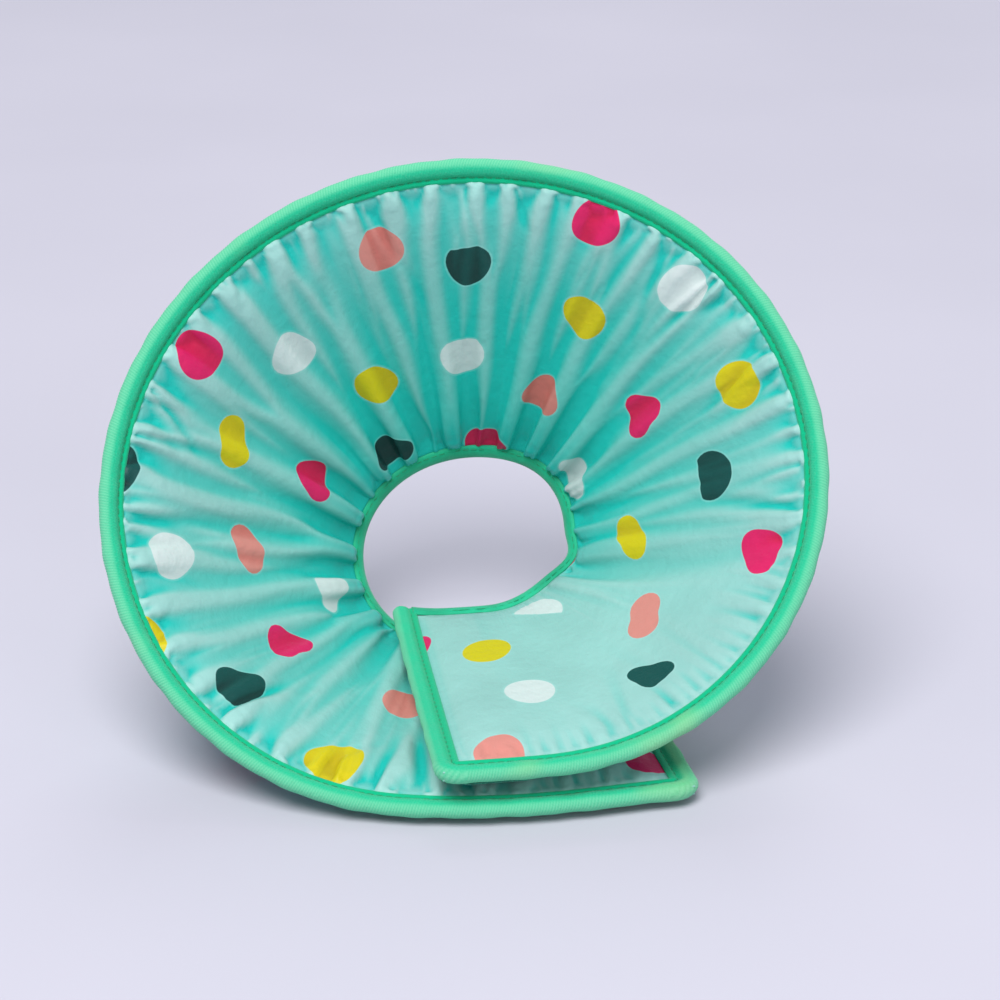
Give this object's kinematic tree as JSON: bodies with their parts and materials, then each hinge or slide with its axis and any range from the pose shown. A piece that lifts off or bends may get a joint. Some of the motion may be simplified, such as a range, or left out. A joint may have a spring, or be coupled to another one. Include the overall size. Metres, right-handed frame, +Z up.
{
  "type": "elizabethan collar",
  "caption": "Soft padded recovery collar for a cat or small dog: a fabric cone that wraps round the neck and closes with an overlapping flap.",
  "frame": {"origin": "on the table plane, at the middle of the flat patch that the collar rests on", "axes": "+Z up from the table; the mouth of the cone faces -Y and upwards; +X to the right of someone looking into the mouth"},
  "size_m": [0.2314, 0.1642, 0.173],
  "materials": {
    "printed_fabric": "satin",
    "outer_fabric": "satin",
    "foam": "matte",
    "wadding": "matte",
    "rim_tape": "matte",
    "neck_tape": "matte",
    "hook_tape": "matte",
    "loop_tape": "matte"
  },
  "bodies": {
    "base": {"outer_cover_base": "outer_fabric", "foam_sheet_base": "foam", "wadding_base": "wadding", "inner_cover_base": "printed_fabric", "rim_binding_base": "rim_tape", "neck_binding_base": "neck_tape", "loop_strip": "loop_tape"},
    "left_wing": {"outer_cover_left_wing": "outer_fabric", "foam_sheet_left_wing": "foam", "wadding_left_wing": "wadding", "inner_cover_left_wing": "printed_fabric", "rim_binding_left_wing": "rim_tape", "neck_binding_left_wing": "neck_tape"},
    "crown": {"outer_cover_crown": "outer_fabric", "foam_sheet_crown": "foam", "wadding_crown": "wadding", "inner_cover_crown": "printed_fabric", "rim_binding_crown": "rim_tape", "neck_binding_crown": "neck_tape"},
    "right_wing": {"outer_cover_right_wing": "outer_fabric", "foam_sheet_right_wing": "foam", "wadding_right_wing": "wadding", "inner_cover_right_wing": "printed_fabric", "rim_binding_right_wing": "rim_tape", "neck_binding_right_wing": "neck_tape"},
    "flap": {"outer_cover_flap": "outer_fabric", "foam_sheet_flap": "foam", "wadding_flap": "wadding", "inner_cover_flap": "printed_fabric", "rim_binding_flap": "rim_tape", "neck_binding_flap": "neck_tape", "hook_strip": "hook_tape"}
  },
  "joints": [
    {"name": "open_left", "type": "hinge", "parent": "base", "child": "left_wing", "pos_m": [-0.03417, 0.06973, 0.01167], "axis": [-0.5869, -0.7857, 0.1955], "range_deg": [0, 45]},
    {"name": "open_upper_left", "type": "hinge", "parent": "left_wing", "child": "crown", "pos_m": [-0.03539, 0.09139, 0.04025], "axis": [-0.6072, -0.4228, 0.6727], "range_deg": [0, 54.1]},
    {"name": "open_top", "type": "hinge", "parent": "crown", "child": "right_wing", "pos_m": [-0.00014, 0.10228, 0.05951], "axis": [-0.005, -0.2372, 0.9714], "range_deg": [0, 49.6]},
    {"name": "flap_peel", "type": "hinge", "parent": "right_wing", "child": "flap", "pos_m": [0.03045, 0.0711, 0.03703], "axis": [-0.6432, 0.6938, -0.3239], "range_deg": [0, 60]}
  ],
  "couplings": [
    {"joint": "open_upper_left", "follows": "open_left", "ratio": 1.2},
    {"joint": "open_top", "follows": "open_left", "ratio": 1.1}
  ]
}
